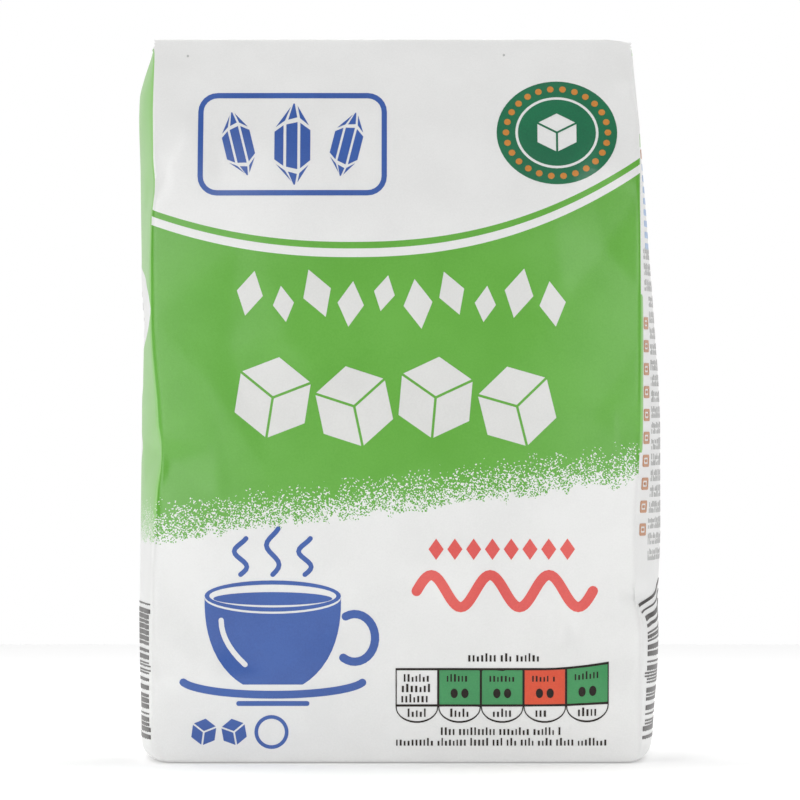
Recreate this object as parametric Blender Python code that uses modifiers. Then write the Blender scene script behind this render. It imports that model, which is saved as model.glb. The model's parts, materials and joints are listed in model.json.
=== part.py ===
# A shut 1 kg paper packet of sugar, standing on its block bottom.
#
# The packet is one closed solid. Its front faces -Y, +Z is up, and the origin is on the surface
# that it stands on, under the middle of its box. Lengths below are in millimetres, angles in
# degrees, and MM turns a length into metres.

import math

import bmesh
import bpy
from mathutils import Vector

MM = 0.001

# Body, measured between the four upright creases.
BODY_HEIGHT = 148.8
FRONT_PLANE = 36.0          # crease to middle, front and back
LEFT_PLANE = 51.6           # left creases to middle
RIGHT_PLANE = 49.2          # right creases to middle
LEFT_REACH = 55.2           # the left side's fullest line to middle
RIGHT_SWELL = 6.2           # how far the fuller right side bows out past its creases
RIGHT_SWELL_FOOT = -22.0
RIGHT_SWELL_HEIGHT = 52.0
RIGHT_SWELL_TOP = 133.0
BELLY = 2.6                 # how far the full front and back bow out between their creases
BOW_POWER = 2.5             # the sides are flat along their middle and turn near the creases
BELLY_POWER = 3.0
BELLY_PEAK = 0.45           # the belly is fullest at this share of the height
BELLY_ROUND = 0.7           # below 1 it fills out sooner from the foot and the shoulder

# The faces lean in to the closure above this height, more and more steeply.
SHOULDER_HEIGHT = 98.0
TOP_RECESS = 21.5
LEAN_POWER = 1.8
RIGHT_TOP_INSET = 1.4       # the right upright crease also comes in a little near the top
RIGHT_INSET_HEIGHT = 132.0

# Foot, where the walls turn under to the block bottom.
FOOT_HEIGHT = 24.0
FOOT_RECESS = 2.2
FOOT_RADIUS = 3.6

# Slack places, where a full wall steps in along an upright crease.
LEFT_SLACK = (34.0, 63.0, 92.0)
RIGHT_SLACK = (24.0, 40.0, 72.0)
LEFT_SLACK_DEPTH = 1.7
RIGHT_SLACK_DEPTH = 1.2

# Tucks, the side walls folded in under the top flap.
LEFT_TUCK_HEIGHT = 138.5
RIGHT_TUCK_HEIGHT = 128.5
TUCK_REACH = 24.0           # how far in from the side the tuck's inner fold lies
TUCK_ROOF = 147.9           # under the flap; the right one is lower by the drop there
TUCK_ABOVE_EAR = 0.7        # the left tuck's fold starts this far above the corner beside it
TUCK_OVERSHOOT = 1.5        # the cutter's size against the tuck's, so that it passes out of the side

# Top flap, the closed mouth folded over to the back and glued down.
FLAP_THICKNESS = 1.4
FLAP_FRONT = 14.6
FLAP_DEPTH = 27.5
FLAP_TOP = 150.0
FLAP_SAG = 0.3
FLAP_DROP = 1.2             # the right end, with the paper under it, bends down this far
FLAP_DROP_LENGTH = 6.0
DROP_START_HEIGHT = 138.0
FLAP_EDGE_RADIUS = 0.45
FLAP_EDGE_ANGLE = 40.0      # edges sharper than this are rounded
FLAP_PARTS_ACROSS = 8
FLAP_PARTS_DEEP = 4

# Bottom flap, glued last and the only face that meets what the packet stands on.
BASE_FLAP_THICKNESS = 0.5
BASE_FLAP_WIDTH = 92.0
BASE_FLAP_DEPTH = 40.0
BASE_FLAP_CORNER = 7.0
OVERLAP = 0.4               # how far joined shapes run into each other

# Where the body's sections lie, as fractions of half the width and depth, and as heights.
STATIONS_ACROSS = (-0.92, -0.78, -0.56, -0.33, -0.11, 0.11, 0.33, 0.56, 0.78, 0.92)
STATIONS_DEEP = (-0.88, -0.66, -0.38, -0.12, 0.12, 0.38, 0.66, 0.88)
STATIONS_HIGH = (1.2, 3.6, 9, 17, 27, 38, 50, 63, 76, 88, 98, 107, 115, 122, 129, 134.5)
EAR_STATIONS = (LEFT_TUCK_HEIGHT, 143.5)
TOP_CREASE = 0.85
EAR_CREASE = 0.8            # the corner that the left tuck leaves standing out
UPRIGHT_CREASE = 0.25
BASE_CREASE = 0.2

PAPER_COLOUR = (0.84, 0.84, 0.82, 1.0)
PAPER_ROUGHNESS = 0.55


def clamp(value):
    return min(max(value, 0.0), 1.0)


def swelling(height, low, peak, high):
    """Rises along a quarter sine from 0 at low to 1 at peak, and falls the same way to 0 at high."""
    if height < peak:
        share = (height - low) / (peak - low)
    else:
        share = (high - height) / (high - peak)
    return math.sin(clamp(share) * math.pi / 2)


def slack(height, low, peak, high):
    return swelling(height, low, peak, high) ** 2


def foot_inset(height):
    """The turn of the walls to the bottom, a quarter circle."""
    short = clamp(1 - height / FOOT_RADIUS)
    return FOOT_RADIUS * (1 - math.sqrt(1 - short ** 2))


def face_plane(height):
    """Distance from the middle to the front or back creases."""
    foot = FOOT_RECESS * clamp(1 - height / FOOT_HEIGHT) ** 2 + foot_inset(height)
    rise = clamp((height - SHOULDER_HEIGHT) / (BODY_HEIGHT - SHOULDER_HEIGHT))
    return FRONT_PLANE - foot - TOP_RECESS * rise ** LEAN_POWER


def left_plane(height):
    return LEFT_PLANE - foot_inset(height) - LEFT_SLACK_DEPTH * slack(height, *LEFT_SLACK)


def right_plane(height):
    lean = RIGHT_TOP_INSET * clamp((height - RIGHT_INSET_HEIGHT) / (BODY_HEIGHT - RIGHT_INSET_HEIGHT))
    return RIGHT_PLANE - foot_inset(height) - lean - RIGHT_SLACK_DEPTH * slack(height, *RIGHT_SLACK)


def corner_drop(x):
    """How far the right end of the top bends down at a distance x from the middle."""
    return FLAP_DROP * clamp((x - RIGHT_PLANE + RIGHT_TOP_INSET) / FLAP_DROP_LENGTH + 1)


def belly(height):
    return BELLY * swelling(height, 0.0, BELLY_PEAK * BODY_HEIGHT, BODY_HEIGHT) ** BELLY_ROUND


def left_swell(height):
    """Full up to the left tuck's corner, and straight in from there to the top."""
    full = LEFT_REACH - foot_inset(height) - left_plane(height)
    return full * clamp((BODY_HEIGHT - height) / (BODY_HEIGHT - LEFT_TUCK_HEIGHT))


def right_swell(height):
    return RIGHT_SWELL * swelling(height, RIGHT_SWELL_FOOT, RIGHT_SWELL_HEIGHT, RIGHT_SWELL_TOP)


def body_point(across, deep, height):
    """The place of a point of the box with sides from -1 to 1 and its height in millimetres."""
    sides_bow = 1 - abs(deep) ** BOW_POWER
    if across < 0:
        reach = left_plane(height) + left_swell(height) * sides_bow
    else:
        reach = right_plane(height) + right_swell(height) * sides_bow
    bow = belly(height) * (1 - abs(across) ** BELLY_POWER)
    top_share = clamp((height - DROP_START_HEIGHT) / (BODY_HEIGHT - DROP_START_HEIGHT))
    drop = corner_drop(across * reach) * top_share
    return Vector((across * reach, deep * (face_plane(height) + bow), height - drop)) * MM


def new_object(name, mesh, collection):
    made = bpy.data.objects.new(name, mesh)
    collection.objects.link(made)
    return made


def finish(bm, name):
    bmesh.ops.recalc_face_normals(bm, faces=bm.faces)
    mesh = bpy.data.meshes.new(name)
    bm.to_mesh(mesh)
    bm.free()
    return mesh


def cut_at(bm, places, normal):
    """Adds a row of edges round the mesh at each place along a normal."""
    for place in places:
        everything = bm.verts[:] + bm.edges[:] + bm.faces[:]
        bmesh.ops.bisect_plane(bm, geom=everything, plane_co=Vector(normal) * place, plane_no=normal)


def crease_of(edge):
    """How firmly an edge of the body's box is creased, before the box is shaped."""
    middle = (edge.verts[0].co + edge.verts[1].co) / 2
    at_side = abs(abs(middle.x) - 1) < 0.001
    at_face = abs(abs(middle.y) - 1) < 0.001
    if middle.z > BODY_HEIGHT - 0.001 and (at_side or at_face):
        return TOP_CREASE
    if middle.z < 0.001 and (at_side or at_face):
        return BASE_CREASE
    if at_side and at_face:
        return UPRIGHT_CREASE
    if abs(middle.x + 1) < 0.001 and abs(middle.z - LEFT_TUCK_HEIGHT) < 0.001:
        return EAR_CREASE
    return 0.0


def make_body(collection):
    bm = bmesh.new()
    bmesh.ops.create_cube(bm, size=2.0)
    for vert in bm.verts:
        vert.co.z = (vert.co.z + 1) / 2 * BODY_HEIGHT
    cut_at(bm, STATIONS_ACROSS, (1, 0, 0))
    cut_at(bm, STATIONS_DEEP, (0, 1, 0))
    cut_at(bm, STATIONS_HIGH + EAR_STATIONS, (0, 0, 1))
    creases = bm.edges.layers.float.new("crease_edge")
    for edge in bm.edges:
        edge[creases] = crease_of(edge)
    for vert in bm.verts:
        vert.co = body_point(*vert.co)
    for vert in bm.verts:
        vert.co.z = BASE_FLAP_THICKNESS * MM + vert.co.z * (1 - BASE_FLAP_THICKNESS / BODY_HEIGHT)
    body = new_object("packet", finish(bm, "packet"), collection)
    smooth = body.modifiers.new("full paper", "SUBSURF")
    smooth.levels = 1
    smooth.render_levels = 1
    return body


def make_tuck(name, side, tuck_height, collection):
    """The hollow left by a side wall that is folded in: a tetrahedron open to the side."""
    reach = LEFT_REACH if side < 0 else RIGHT_PLANE
    corner = LEFT_PLANE if side < 0 else RIGHT_PLANE - RIGHT_TOP_INSET
    roof = TUCK_ROOF - corner_drop(side * corner)
    inner = Vector((side * (corner - TUCK_REACH), 0, roof))
    outer = [
        Vector((side * reach, 0, tuck_height)),
        Vector((side * corner, -FLAP_FRONT, roof)),
        Vector((side * corner, FLAP_FRONT, roof)),
    ]
    bm = bmesh.new()
    bm.verts.new(inner * MM)
    for point in outer:
        bm.verts.new((inner + (point - inner) * TUCK_OVERSHOOT) * MM)
    bmesh.ops.convex_hull(bm, input=bm.verts)
    return new_object(name, finish(bm, name), collection)


def make_top_flap(collection):
    """The folded mouth: a thin slab that sags between its edges and whose right end drops."""
    left = -LEFT_PLANE
    right = RIGHT_PLANE - RIGHT_TOP_INSET
    bm = bmesh.new()
    bmesh.ops.create_cube(bm, size=1.0)
    for vert in bm.verts:
        vert.co.x = left if vert.co.x < 0 else right
        vert.co.y = -FLAP_FRONT + (vert.co.y + 0.5) * FLAP_DEPTH
        vert.co.z = (vert.co.z - 0.5) * FLAP_THICKNESS
    width_step = (right - left) / FLAP_PARTS_ACROSS
    depth_step = FLAP_DEPTH / FLAP_PARTS_DEEP
    cuts_across = [left + width_step * step for step in range(1, FLAP_PARTS_ACROSS)]
    cut_at(bm, cuts_across + [right - FLAP_DROP_LENGTH], (1, 0, 0))
    cut_at(bm, [-FLAP_FRONT + depth_step * step for step in range(1, FLAP_PARTS_DEEP)], (0, 1, 0))
    for vert in bm.verts:
        along = (vert.co.y + FLAP_FRONT) / FLAP_DEPTH
        vert.co.z += FLAP_TOP - FLAP_SAG * math.sin(math.pi * along) - corner_drop(vert.co.x)
        vert.co *= MM
    flap = new_object("top_flap", finish(bm, "top_flap"), collection)
    soften = flap.modifiers.new("folded edge", "BEVEL")
    soften.width = FLAP_EDGE_RADIUS * MM
    soften.segments = 2
    soften.limit_method = "ANGLE"
    soften.angle_limit = math.radians(FLAP_EDGE_ANGLE)
    return flap


def make_base_flap(collection):
    """The last bottom flap, a flat slab with its corners cut at 45 degrees."""
    bm = bmesh.new()
    bmesh.ops.create_cube(bm, size=1.0)
    thickness = BASE_FLAP_THICKNESS + OVERLAP
    size = Vector((BASE_FLAP_WIDTH, BASE_FLAP_DEPTH, thickness)) * MM
    for vert in bm.verts:
        vert.co = Vector(a * b for a, b in zip(vert.co, size))
        vert.co.z += thickness / 2 * MM
    upright = [edge for edge in bm.edges if abs(edge.verts[0].co.z - edge.verts[1].co.z) > 0.5 * size.z]
    bmesh.ops.bevel(bm, geom=upright, offset=BASE_FLAP_CORNER * MM, segments=1, affect="EDGES")
    return new_object("base_flap", finish(bm, "base_flap"), collection)


def add_boolean(target, other, operation):
    joined = target.modifiers.new(other.name, "BOOLEAN")
    joined.operation = operation
    joined.solver = "EXACT"
    joined.object = other
    other.hide_render = True
    other.display_type = "WIRE"


def paper():
    material = bpy.data.materials.new("coated paper")
    material.use_nodes = True
    shader = material.node_tree.nodes["Principled BSDF"]
    shader.inputs["Base Color"].default_value = PAPER_COLOUR
    shader.inputs["Roughness"].default_value = PAPER_ROUGHNESS
    shader.inputs["Metallic"].default_value = 0.0
    return material


def centre(body, helpers):
    """Moves the shapes so that the finished box is centred on the origin in X and Y."""
    bpy.context.view_layer.update()
    evaluated = body.evaluated_get(bpy.context.evaluated_depsgraph_get())
    points = [vert.co.copy() for vert in evaluated.data.vertices]
    middle_x = (min(p.x for p in points) + max(p.x for p in points)) / 2
    middle_y = (min(p.y for p in points) + max(p.y for p in points)) / 2
    for shape in [body] + helpers:
        for vert in shape.data.vertices:
            vert.co.x -= middle_x
            vert.co.y -= middle_y


def main():
    for old in list(bpy.data.objects):
        bpy.data.objects.remove(old, do_unlink=True)
    parts = bpy.data.collections.new("sugar packet")
    helpers = bpy.data.collections.new("cutters and joined shapes")
    for collection in (parts, helpers):
        bpy.context.scene.collection.children.link(collection)

    body = make_body(parts)
    left_tuck = make_tuck("left_tuck", -1, LEFT_TUCK_HEIGHT + TUCK_ABOVE_EAR, helpers)
    right_tuck = make_tuck("right_tuck", 1, RIGHT_TUCK_HEIGHT, helpers)
    top_flap = make_top_flap(helpers)
    base_flap = make_base_flap(helpers)
    add_boolean(body, left_tuck, "DIFFERENCE")
    add_boolean(body, right_tuck, "DIFFERENCE")
    add_boolean(body, top_flap, "UNION")
    add_boolean(body, base_flap, "UNION")
    body.data.materials.append(paper())
    body.data.shade_smooth()
    centre(body, [left_tuck, right_tuck, top_flap, base_flap])


main()
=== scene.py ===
import json
import math

import bpy
import numpy as np
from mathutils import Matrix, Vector
from mathutils.geometry import delaunay_2d_cdt

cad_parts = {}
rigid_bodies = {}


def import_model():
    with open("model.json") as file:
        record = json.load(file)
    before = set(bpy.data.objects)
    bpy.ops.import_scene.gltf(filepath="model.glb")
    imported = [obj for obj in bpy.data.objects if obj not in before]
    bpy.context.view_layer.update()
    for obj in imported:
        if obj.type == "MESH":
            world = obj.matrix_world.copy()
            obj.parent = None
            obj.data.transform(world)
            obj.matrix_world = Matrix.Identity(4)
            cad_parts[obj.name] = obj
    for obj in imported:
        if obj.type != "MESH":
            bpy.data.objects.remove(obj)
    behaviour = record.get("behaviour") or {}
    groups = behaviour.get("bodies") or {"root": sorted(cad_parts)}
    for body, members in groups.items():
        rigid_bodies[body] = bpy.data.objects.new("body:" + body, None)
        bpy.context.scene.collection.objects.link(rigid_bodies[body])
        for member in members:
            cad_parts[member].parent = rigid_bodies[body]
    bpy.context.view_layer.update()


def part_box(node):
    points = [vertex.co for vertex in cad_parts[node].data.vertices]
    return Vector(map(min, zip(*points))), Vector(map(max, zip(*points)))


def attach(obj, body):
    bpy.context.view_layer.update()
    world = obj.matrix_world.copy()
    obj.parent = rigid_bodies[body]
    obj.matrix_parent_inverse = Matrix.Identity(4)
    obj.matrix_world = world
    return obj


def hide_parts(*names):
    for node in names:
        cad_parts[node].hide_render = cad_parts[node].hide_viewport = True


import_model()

packetLow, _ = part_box("packet")
mm = 0.001

# The paper body, in millimetres. Heights are over the foot of the walls.
body = {
    "height": 148.8,
    "cellsAcross": 96, "cellsDeep": 56, "halfWide": 50.0,    # the half width only sets out the mesh's columns
    "facePlane": 36.0, "leftPlane": 51.6, "rightPlane": 49.2, "leftReach": 55.2,
    "leftEase": 0.65, "leftEaseRange": (135.0, 122.0),   # the left side is fullest at its standing corner
    "rightSwell": 5.2, "rightSwellRange": (-30.0, 50.0, 133.0),
    "fallRound": 0.65, "slackSwell": 0.7,
    "belly": 2.6, "bellyPeak": 0.45, "bellyRound": 0.7, "bellyEnd": 14.0, "bellyPower": 3.0, "sidePower": 2.5,
    "shoulder": 98.0, "topRecess": 21.5, "leanPower": 1.8,
    "rightInset": 1.4, "rightInsetFrom": 132.0,
    "footHeight": 24.0, "footRecess": 2.2, "footRadius": 3.6, "rightFoot": 0.7, "footLift": 0.24,
    "footCrisp": 0.25,              # front and back turn under more sharply than the sides
    "leftSlack": (34.0, 63.0, 92.0), "leftSlackDepth": 1.7,
    "rightSlack": (24.0, 40.0, 72.0), "rightSlackDepth": 1.2,
    "tuckFoot": (138.5, 128.5),     # left and right: where the side walls start to fold in
    "tuckReach": 24.0, "tuckRoof": 147.9, "tuckColumn": 0.6, "tuckStart": 1.2, "tuckGap": 0.9,
    "squeeze": 26.0,                # the mesh draws together to the tuck's fold over this height
    "flapTop": 149.95, "flapFront": 14.6, "flapBack": 12.9, "flapSag": 0.15,
    "shelf": 148.45,                # the top behind the flap's free edge
    "layerStep": 0.3,               # how far the inner layers stand back at the flap's ends
    "flapDrop": 0.7, "flapDropLength": 6.0, "dropFrom": 138.0,
    "baseFlap": (92.0, 40.0, 7.0), "baseRise": 0.34, "baseEdge": 0.8,
    "seam": 31.0, "seamWide": 12.0, "seamStep": 0.22, "seamEdge": 0.2,    # the glued lap up the back
    "seamFoot": (1.0, 4.0), "seamTop": (147.0, 3.0),
}

# How softly the paper bends along its folds: shares from 0, crisp, to 1, soft.
folds = {
    "share": 1.15, "reach": 4.0,            # at the fold itself, and how far from it the softness dies out
    "firmShare": 0.72, "firmFrom": 25.0, "firmOver": 90.0,     # the folds grow crisper with height
    "rightShare": 0.6,
    "foot": 3.0, "footShare": 0.5,
    "top": 146.5, "topShare": 0.3,
    "tuckShare": 0.35, "tuckHalf": 0.09, "tuckBelow": 4.0, "tuckTop": 147.5,
    "flapShare": 0.08, "flapFrom": 149.9,
    "rounds": 12, "levels": 12,
}

# Dents and creases: the panel, a middle point and how far it stands out (minus: is pressed in), then
# the corners round it, which stay where they are. Places are across and up the panel, in millimetres.
dents = [
    ("front", (-44.2, 131.0), 1.2, [(-50.8, 146.0), (-36.0, 138.0), (-38.0, 118.0), (-51.8, 113.0)]),
    ("front", (-52.0, 119.5), -1.0, [(-52.5, 126.0), (-46.5, 119.5), (-52.5, 113.5)]),
    ("front", (40.5, 122.5), 1.1, [(35.0, 117.5), (49.8, 117.5), (49.6, 129.5), (41.0, 130.5)]),
    ("front", (41.8, 106.0), -0.7, [(31.5, 114.0), (39.0, 119.0), (49.5, 117.0), (49.5, 97.0), (33.5, 95.0)]),
    ("front", (-47.5, 62.5), -0.8, [(-50.5, 67.0), (-38.0, 65.0), (-37.8, 54.0), (-50.5, 51.0)]),
    ("front", (33.8, 28.5), -0.9, [(30.5, 33.0), (37.0, 32.0), (37.0, 24.0), (31.5, 23.5)]),
    ("front", (48.5, 34.3), -1.2, [(44.0, 37.5), (50.5, 40.5), (50.5, 31.5), (44.5, 31.8)]),
    ("front", (-46.5, 2.5), -1.3, [(-52.0, 8.5), (-41.4, 5.2), (-38.0, 0.2), (-52.0, 0.0)]),
    ("front", (48.0, 141.5), -1.2, [(42.0, 149.6), (43.5, 140.5), (48.9, 131.0), (49.0, 149.6)]),
    ("front", (-49.8, 19.5), -1.1, [(-52.5, 27.0), (-43.5, 20.5), (-44.5, 15.5), (-52.5, 13.0)]),
    ("front", (46.0, 14.0), 0.9, [(51.0, 24.0), (38.0, 19.0), (40.0, 8.0), (51.0, 5.0)]),
    ("front", (49.5, 67.5), -1.0, [(44.0, 72.0), (50.5, 74.5), (50.5, 61.0), (45.0, 62.0)]),
    ("front", (-38.0, 17.5), 0.8, [(-50.5, 20.0), (-36.0, 25.0), (-27.0, 18.0), (-36.0, 13.0)]),
    ("left", (33.5, 119.5), -0.8, [(38.0, 126.5), (20.0, 121.0), (22.0, 114.0), (38.0, 112.0)]),
    ("left", (34.5, 64.0), -1.0, [(38.0, 70.0), (21.0, 66.0), (24.0, 58.0), (38.0, 56.0)]),
    ("left", (6.0, 88.0), -0.9, [(34.0, 104.0), (-14.0, 99.0), (-28.0, 82.0), (20.0, 74.0)]),
    ("right", (-34.0, 34.0), -1.3, [(-38.0, 39.5), (-24.0, 36.0), (-24.0, 27.0), (-38.0, 31.0)]),
    ("right", (4.0, 96.0), -1.0, [(-22.0, 108.0), (18.0, 112.0), (27.0, 88.0), (-16.0, 82.0)]),
    ("back", (20.0, 100.0), -0.8, [(8.0, 118.0), (34.0, 112.0), (38.0, 88.0), (12.0, 84.0)]),
    ("back", (-34.0, 40.0), -0.9, [(-44.0, 56.0), (-22.0, 50.0), (-24.0, 28.0), (-46.0, 24.0)]),
    ("back", (-47.0, 137.0), -1.1, [(-50.0, 149.5), (-40.0, 139.0), (-41.0, 130.0), (-50.0, 122.0)]),
]

# Paper that has been filled and handled lies in many nearly flat facets.
crumple = {"spacing": 15.0, "height": 0.42, "edgeHeight": 0.2, "shake": 0.38, "seed": 11, "soften": 3,
           "footFade": (0.2, 9.0), "topFade": (0.4, 7.0),      # it dies out towards the foot and the flap
           "walls": (0.8, 147.2)}     # the heights between which the creases are softened

# The printed fields, in millimetres across and up each panel.
fields = {
    "stripeLow": (-10.5, 107.25),           # the lowest point of the curved stripe's upper edge
    "stripeLeft": (40.0, 6.4, 2.15),        # to its left: how far out, how far up, and how round
    "stripeRight": (55.3, 14.6, 2.3),
    "stripeWide": 1.36, "gapWide": 1.78,
    "edgeMiddle": 52.7, "edgeSlope": 0.125, "sideEdge": 46.5,
    "grainFrom": -0.9, "grainRun": 7.6, "grainSize": 0.24,
    "paleSides": 0.75,                        # how much paler the side panels' green is
    "label": (0.0, 93.3, 35.8, 9.6), "smallLabel": (0.0, 65.1, 20.0, 4.2),    # left bare in the side's field
    "wraps": [(64.0, 96.5, 1.5), (127.0, 129.8, 3.2), (146.4, 148.6, 1.6)],    # low, high, how far round
}

# The darker and lighter tone of each ink and of the bare sheet, and how glossy it is.
inks = {
    "barePaper": ("#e4e4e3", "#e9e9e8", 0.75),
    "fieldGreen": ("#5aa52d", "#62ac38", 0.75),
    "flexoBlue": ("#28509d", "#305aa8", 0.75),
    "flexoDarkGreen": ("#026341", "#067048", 0.75),
    "flexoOrange": ("#c27a2c", "#cd8737", 0.75),
    "bareCoatedPaper": ("#d8d8d6", "#dededc", 0.75),
    "flexoRed": ("#d94a46", "#e1564f", 0.75),
    "flexoMidGreen": ("#27884a", "#309250", 0.75),
    "flexoVermilion": ("#d43c08", "#dd470f", 0.75),
    "flexoDark": ("#2b2624", "#36302d", 0.1),
    # the grey ink also paints the pin pricks' shade as dots
    "greyInkAndPrickShade": ("#b3b3b2", "#bebebd", 0.3),
    "flexoPaleBlue": ("#86a9d6", "#93b4dd", 0.75),
    "flexoAmber": ("#b3713a", "#bf7d46", 0.75),
}
paleSideGreen = "#8cc76c"       # the field's paler green on the side panels

# The sheet's and the inks' patterns, in millimetres. Real fibres are finer than these: they are drawn
# coarser so that they show.
sheet = {
    "roughness": 0.3,               # a machine-laid coat
    "fibre": 0.9, "fibreDepth": 0.05, "fibreStrength": 0.35,
    "cloud": 11.0, "speck": 0.34, "speckShare": 0.45, "toneRange": (0.38, 0.62),
    "drift": 3.2, "driftReach": 1.3,        # how unevenly the speckled edge runs
}

# Where the camera stands and how soft the light is.
studio = {
    "distance": 1.5,                # metres from the packet's front
    "frameWidth": 0.164,            # metres of the front that fill the frame's width
    "across": -0.0002, "aimHeight": 0.0748, "sensor": 36,
    "floorHalf": 0.7, "floorGlow": 0.16, "lampAim": 0.075,
    "roomAndWall": (0.26, 0.84),    # how bright it is in front of the packet and behind it
    # place, size and power of each
    "softBoxes": {"leftSoftBox": ((-0.42, -0.92, 0.5), (0.42, 1.3), 4.15),
                  "rightSoftBox": ((0.43, -0.93, 0.34), (0.4, 1.0), 2.27),
                  "leftSideBox": ((-0.7, 0.1, 0.15), (0.3, 0.5), 0.7),
                  "rightSideBox": ((0.7, 0.1, 0.15), (0.3, 0.5), 0.4),
                  "topSoftBox": ((0, 0.25, 0.9), (0.9, 0.6), 3.1)},
}


def deselect():
    if bpy.context.object and bpy.context.object.mode != "OBJECT":
        bpy.ops.object.mode_set(mode="OBJECT")
    bpy.ops.object.select_all(action="DESELECT")


def pick(thing):
    deselect()
    thing.select_set(True)
    bpy.context.view_layer.objects.active = thing


def applyModifiers(thing):
    pick(thing)
    for modifier in list(thing.modifiers):
        bpy.ops.object.modifier_apply(modifier=modifier.name)


def softenGroup(thing, name, rounds):
    # evens out the points of one group, then drops the group
    soft = thing.modifiers.new(name, "SMOOTH")
    soft.factor = 0.5
    soft.iterations = rounds
    soft.vertex_group = name
    applyModifiers(thing)
    thing.vertex_groups.clear()


def addThing(name, data):
    made = bpy.data.objects.new(name, data)
    bpy.context.scene.collection.objects.link(made)
    return made


def readPoints(thing):
    points = np.empty(len(thing.data.vertices) * 3, np.float32)
    thing.data.vertices.foreach_get("co", points)
    return points.reshape(-1, 3).astype(float)


def writePoints(thing, points):
    thing.data.vertices.foreach_set("co", points.astype(np.float32).ravel())
    thing.data.update()


def linear(hexColour):
    parts = [int(hexColour[i:i + 2], 16) / 255 for i in (1, 3, 5)]
    return tuple(p / 12.92 if p <= 0.04045 else ((p + 0.055) / 1.055) ** 2.4 for p in parts) + (1.0,)


def addNode(tree, kind, links=None, **settings):
    made = tree.nodes.new(kind)
    for name, value in settings.items():
        setattr(made, name, value)
    for socket, value in (links or {}).items():
        if isinstance(value, bpy.types.NodeSocket):
            tree.links.new(value, made.inputs[socket])
        else:
            made.inputs[socket].default_value = value
    return made


# The body's shape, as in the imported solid.

def clamp(value):
    return np.clip(value, 0.0, 1.0)


def smooth(value):
    value = clamp(value)
    return value * value * (3 - 2 * value)


def swelling(height, low, peak, high):
    share = np.where(height < peak, (height - low) / (peak - low), (high - height) / (high - peak))
    return np.sin(clamp(share) * math.pi / 2)


def bySide(side, pair):
    # the left side's value or the right side's
    return np.where(side < 0, pair[0], pair[1])


def footInset(height):
    short = clamp(1 - height / body["footRadius"])
    return body["footRadius"] * (1 - np.sqrt(1 - short ** 2))


def faceDepth(height):
    foot = body["footRecess"] * clamp(1 - height / body["footHeight"]) ** 2
    foot = foot + body["footCrisp"] * footInset(height)
    rise = clamp((height - body["shoulder"]) / (body["flapTop"] - body["shoulder"]))
    return body["facePlane"] - foot - body["topRecess"] * rise ** body["leanPower"]


def creasePlane(height, side):
    left = body["leftPlane"] - body["leftSlackDepth"] * swelling(height, *body["leftSlack"]) ** 2
    lean = clamp((height - body["rightInsetFrom"]) / (body["height"] - body["rightInsetFrom"]))
    right = body["rightPlane"] - body["rightInset"] * lean
    right = right - body["rightSlackDepth"] * swelling(height, *body["rightSlack"]) ** 2
    return bySide(side, (left, right)) - footInset(height) * bySide(side, (1.0, body["rightFoot"]))


def sideSwell(height, side):
    high, low = body["leftEaseRange"]
    ease = body["leftEase"] * smooth((high - height) / (high - low))
    full = body["leftReach"] - footInset(height) - creasePlane(height, -1) - ease
    fall = clamp((body["height"] - height) / (body["height"] - body["tuckFoot"][0]))
    right = body["rightSwell"] * swelling(height, *body["rightSwellRange"])
    right = right + body["slackSwell"] * body["rightSlackDepth"] * swelling(height, *body["rightSlack"]) ** 2
    return bySide(side, (full * fall ** body["fallRound"], right))


def bellyBow(height):
    peak = body["bellyPeak"] * body["height"]
    bow = body["belly"] * swelling(height, 0.0, peak, body["height"]) ** body["bellyRound"]
    return bow * smooth((body["flapTop"] - height) / body["bellyEnd"])


def foldedDepth(across, deep, height, side):
    # the sides fold in to a ridge under the flap, and how deep the tuck is there
    half = faceDepth(height)
    foot = bySide(side, body["tuckFoot"])
    opened = clamp((height - foot) / (body["tuckRoof"] - foot))
    column = body["tuckColumn"]
    ridge = body["tuckStart"] + (half - body["tuckGap"] - body["tuckStart"]) * opened
    drawn = smooth(1 - (foot - height) / body["squeeze"]) * np.abs(across) ** 12
    ridge = column * half + (ridge - column * half) * drawn
    depth = np.abs(deep)
    inner = depth / column * ridge
    outer = ridge + (depth - column) / (1 - column) * (half - ridge)
    folded = np.where(depth <= column, inner, outer) / half
    pocket = body["tuckReach"] * opened * clamp(1 - depth / column)
    return np.sign(deep) * folded, pocket


def rowHeights():
    # the mesh's rows up the wall: the foot's turn, the wall, the tuck, its roof and the flap's layers
    turn = np.linspace(0, math.pi / 2, 7)
    foot = body["footRadius"] * (1 - np.cos(turn))
    wall = np.linspace(foot[-1], body["tuckFoot"][0], 118)[1:]
    tuck = np.linspace(body["tuckFoot"][0], body["tuckRoof"], 13)[1:]
    roof = body["tuckRoof"] + np.linspace(0.005, 0.04, 8)
    layers = np.linspace(body["tuckRoof"] + 0.1, body["flapTop"], 7)
    closed = np.zeros(len(foot) + len(wall) + len(tuck))
    share = np.concatenate([closed, np.linspace(0.125, 1, 8), np.ones(7)])
    return np.concatenate([foot, wall, tuck, roof, layers]), share


def spread(cells):
    even = np.linspace(-1, 1, cells + 1)
    return 0.5 * even + 0.5 * np.sin(even * math.pi / 2)


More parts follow.
